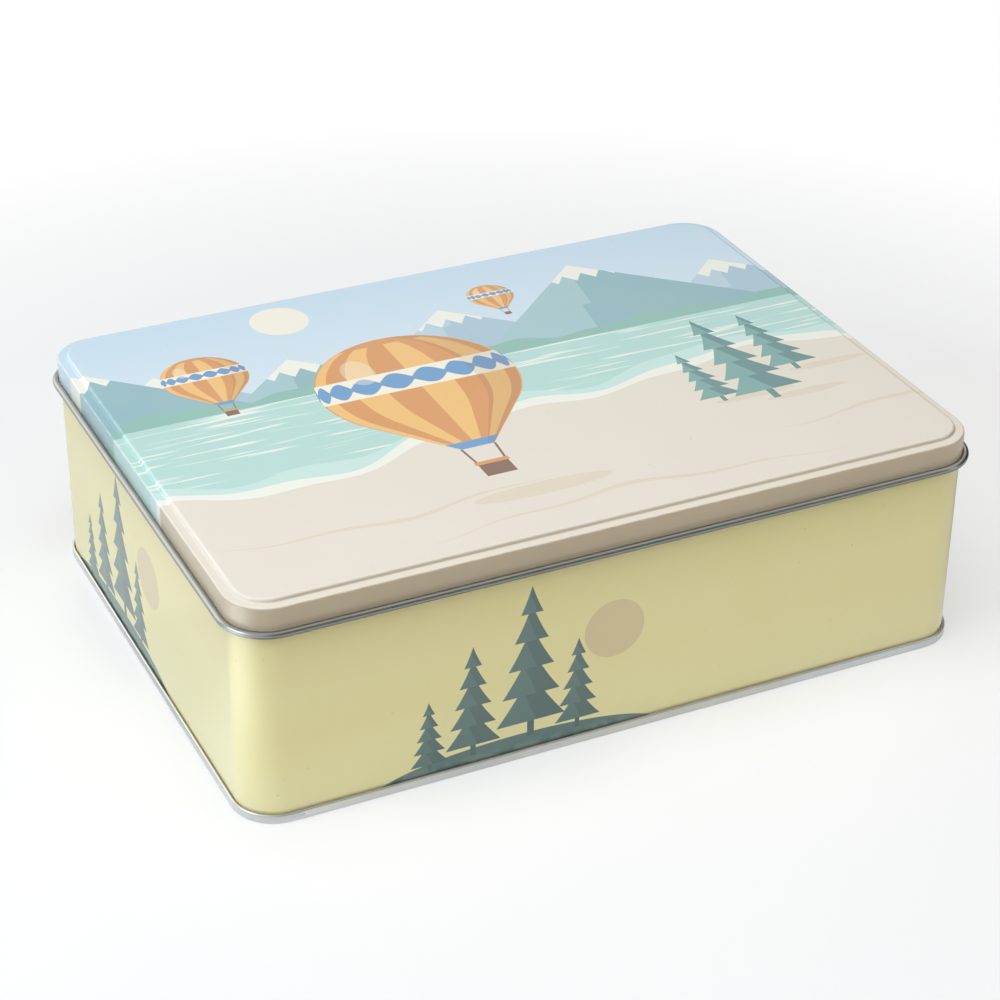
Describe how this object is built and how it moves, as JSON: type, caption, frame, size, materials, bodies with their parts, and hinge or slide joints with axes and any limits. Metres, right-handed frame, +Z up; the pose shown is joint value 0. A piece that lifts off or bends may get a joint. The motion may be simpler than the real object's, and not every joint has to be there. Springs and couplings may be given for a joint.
{
  "type": "rectangular storage tin",
  "caption": "Rectangular tinplate box with rounded corners, a double-seamed base and a slip-over lid that lifts off, for papers and keepsakes.",
  "frame": {"origin": "on the surface that the tin stands on, under the middle of its base", "axes": "+Z up, the way the lid lifts off; +X along the long side; +Y from the front wall to the back wall, which carries the side seam"},
  "size_m": [0.2618, 0.1928, 0.0796],
  "materials": {
    "body_wall": "satin printed tinplate",
    "base_plate": "bare tinplate",
    "lid": "satin printed tinplate"
  },
  "bodies": {
    "body": {"body_wall": "body_wall", "base_plate": "base_plate"},
    "lid": {"lid": "lid"}
  },
  "joints": [
    {"name": "lid_lift", "type": "slide", "parent": "body", "child": "lid", "axis": [0, 0, 1], "range_m": [0, 0.12]}
  ]
}
